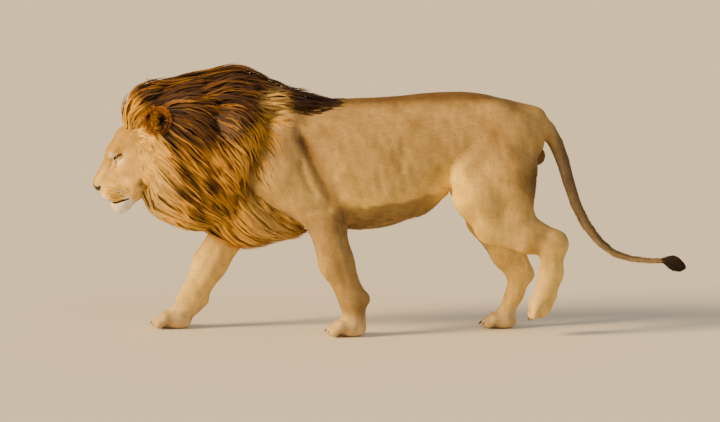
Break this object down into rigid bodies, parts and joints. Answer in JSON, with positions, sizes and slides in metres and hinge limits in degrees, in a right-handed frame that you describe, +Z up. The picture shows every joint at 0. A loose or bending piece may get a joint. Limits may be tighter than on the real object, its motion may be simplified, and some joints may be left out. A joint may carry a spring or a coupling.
{
  "type": "lion",
  "caption": "Life-size standing model of a maned male lion in mid stride, head low, left hind foot lifted and tail trailing.",
  "frame": {"origin": "on the floor, under the middle of the whole animal's bounding box", "axes": "+Z up, the lion faces -X, its left side faces -Y"},
  "size_m": [2.5436, 0.435, 1.1681],
  "materials": {
    "short_coat": "short flat fur, matt",
    "leg_coat": "short flat fur, matt",
    "mane_gold": "long coarse hair in locks, soft sheen",
    "mane_dark": "long coarse dark hair in locks, soft sheen",
    "mane_pale": "long coarse pale hair in locks, soft sheen",
    "chin": "short pale fur, matt",
    "ear": "short fur over a thin cup, matt",
    "tuft": "long dark hair, matt",
    "nose": "dark, finely grained, slightly damp",
    "eye": "wet gloss"
  },
  "bodies": {
    "root": {"eye_left": "eye", "eye_right": "eye", "ear_left": "ear", "ear_right": "ear", "tail_1": "short_coat", "tail_2": "short_coat", "tail_3": "short_coat", "tail_4": "short_coat", "tail_tuft": "tuft", "lower_jaw": "chin", "nose": "nose", "head": "short_coat", "forepaw_left": "leg_coat", "forearm_left": "leg_coat", "forepaw_right": "leg_coat", "forearm_right": "leg_coat", "hindpaw_left": "leg_coat", "metatarsus_left": "leg_coat", "shank_left": "leg_coat", "hindpaw_right": "leg_coat", "metatarsus_right": "leg_coat", "shank_right": "leg_coat", "scrotum": "short_coat", "thigh_left": "short_coat", "thigh_right": "short_coat", "crown_mane": "mane_gold", "withers_mane": "mane_dark", "nape_mane": "mane_dark", "throat_mane": "mane_gold", "breast_mane": "mane_pale", "collar_left": "mane_gold", "collar_right": "mane_gold", "shoulder_left": "short_coat", "shoulder_right": "short_coat", "chest": "short_coat", "loins": "short_coat", "croup": "short_coat"}
  },
  "joints": []
}
